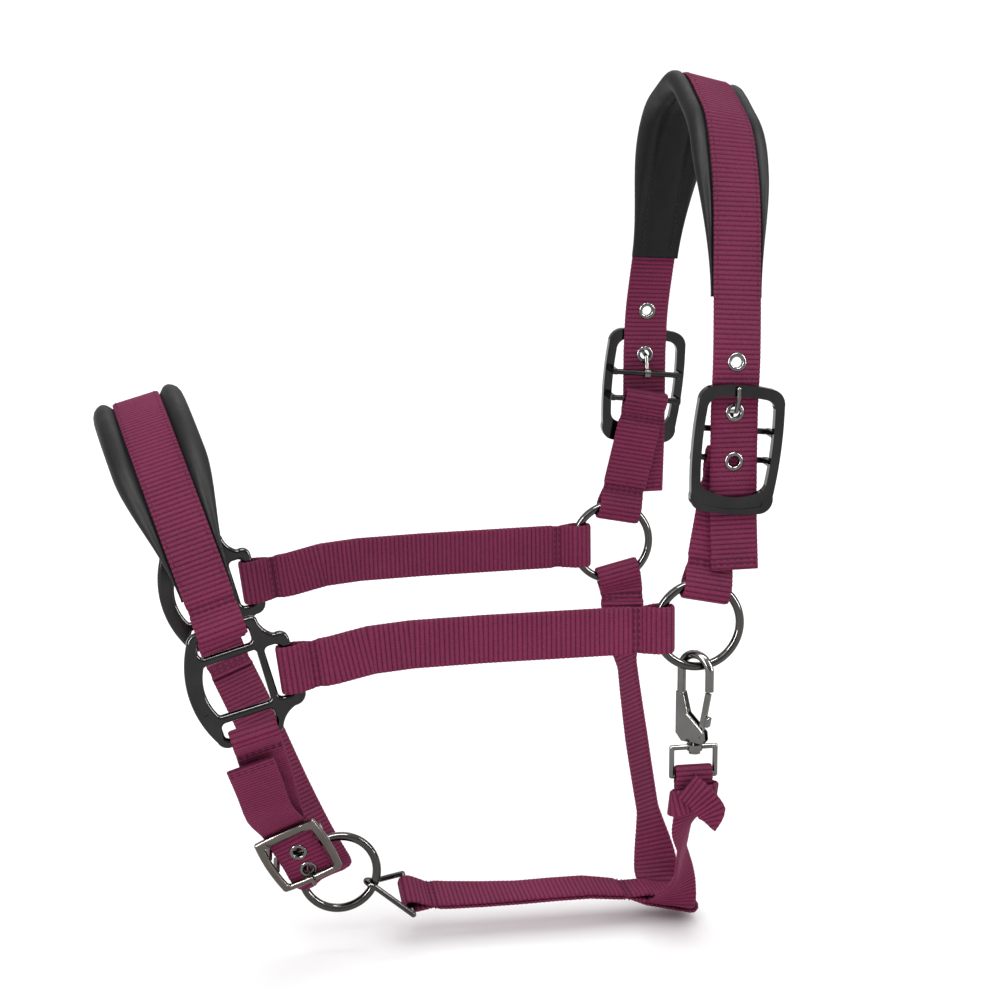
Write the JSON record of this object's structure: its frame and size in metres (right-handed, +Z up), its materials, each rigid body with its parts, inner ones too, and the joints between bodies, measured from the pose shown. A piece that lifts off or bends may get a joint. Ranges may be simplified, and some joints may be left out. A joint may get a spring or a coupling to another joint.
{
  "type": "horse headcollar",
  "caption": "Padded webbing headcollar for a horse, with buckled crown, noseband, chin strap and ring, and a throat strap closed by a swivel snap.",
  "frame": {"origin": "the poll seat: inner face of the padded crown at its crest", "axes": "+X the horse's left side, +Y the back of the head, +Z up the head"},
  "size_m": [0.2087, 0.3435, 0.4662],
  "materials": {
    "webbing_plum": "ribbed nylon webbing",
    "pad_cover": "satin leather-look cover",
    "pad_foam": "soft foam",
    "gunmetal": "polished gunmetal",
    "black_nickel": "polished black nickel",
    "satin_gunmetal": "satin gunmetal",
    "nickel": "polished nickel",
    "eyelet_nickel": "rolled nickel"
  },
  "bodies": {
    "headcollar": {"crown_strap": "webbing_plum", "left_buckle_billet": "webbing_plum", "right_buckle_billet": "webbing_plum", "left_cheek_strap": "webbing_plum", "right_cheek_strap": "webbing_plum", "noseband_strap": "webbing_plum", "chin_billet": "webbing_plum", "chin_strap": "webbing_plum", "jaw_strap": "webbing_plum", "throat_strap": "webbing_plum", "throat_strap_knot": "webbing_plum", "crown_pad_cover": "pad_cover", "noseband_pad_cover": "pad_cover", "crown_pad_foam": "pad_foam", "noseband_pad_foam": "pad_foam", "left_nose_square": "black_nickel", "right_nose_square": "black_nickel", "left_crown_buckle_frame": "black_nickel", "right_crown_buckle_frame": "black_nickel", "chin_buckle_frame": "satin_gunmetal", "left_crown_eyelets": "eyelet_nickel", "right_crown_eyelets": "eyelet_nickel", "chin_eyelets": "eyelet_nickel", "snap_swivel_eye": "nickel"},
    "left_ring": {"left_cheek_ring": "gunmetal"},
    "right_ring": {"right_cheek_ring": "gunmetal"},
    "chin_ring_body": {"chin_ring": "gunmetal"},
    "left_tongue": {"left_crown_buckle_tongue": "nickel"},
    "right_tongue": {"right_crown_buckle_tongue": "nickel"},
    "chin_tongue": {"chin_buckle_tongue": "satin_gunmetal"},
    "jaw_link_body": {"jaw_link": "gunmetal"},
    "snap": {"snap_hook_body": "nickel", "snap_gate_pin": "nickel", "snap_gate_spring": "nickel"},
    "gate": {"snap_gate": "nickel"}
  },
  "joints": [
    {"name": "left_ring_spin", "type": "hinge", "parent": "headcollar", "child": "left_ring", "pos_m": [0.0955, -0.0258, -0.2623], "axis": [1, 0, 0], "continuous": true},
    {"name": "right_ring_spin", "type": "hinge", "parent": "headcollar", "child": "right_ring", "pos_m": [-0.0955, -0.0258, -0.2623], "axis": [1, 0, 0], "continuous": true},
    {"name": "chin_ring_spin", "type": "hinge", "parent": "headcollar", "child": "chin_ring_body", "pos_m": [0.004, -0.2009, -0.4168], "axis": [1, 0, 0], "continuous": true},
    {"name": "left_tongue_lift", "type": "hinge", "parent": "headcollar", "child": "left_tongue", "pos_m": [0.0874, -0.00719, -0.16244], "axis": [0, 0.9954, -0.0958], "range_deg": [0, 6]},
    {"name": "right_tongue_lift", "type": "hinge", "parent": "headcollar", "child": "right_tongue", "pos_m": [-0.0874, -0.00719, -0.16244], "axis": [0, -0.9954, 0.0958], "range_deg": [0, 6]},
    {"name": "chin_tongue_lift", "type": "hinge", "parent": "headcollar", "child": "chin_tongue", "pos_m": [0.01581, -0.22279, -0.39851], "axis": [0.2349, 0.8678, 0.4379], "range_deg": [-6, 0]},
    {"name": "jaw_link_swing", "type": "hinge", "parent": "headcollar", "child": "jaw_link_body", "pos_m": [0, -0.1626, -0.4336], "axis": [0.9659, 0, -0.2588], "range_deg": [-1.5, 1.5]},
    {"name": "snap_swivel", "type": "hinge", "parent": "headcollar", "child": "snap", "pos_m": [0.096, -0.0269, -0.3274], "axis": [0, 0, 1], "range_deg": [-5, 9]},
    {"name": "snap_gate_open", "type": "hinge", "parent": "snap", "child": "gate", "pos_m": [0.09876, -0.02459, -0.3212], "axis": [0.6428, -0.766, 0], "range_deg": [0, 16], "stiffness_Nm_per_rad": 0.02}
  ]
}
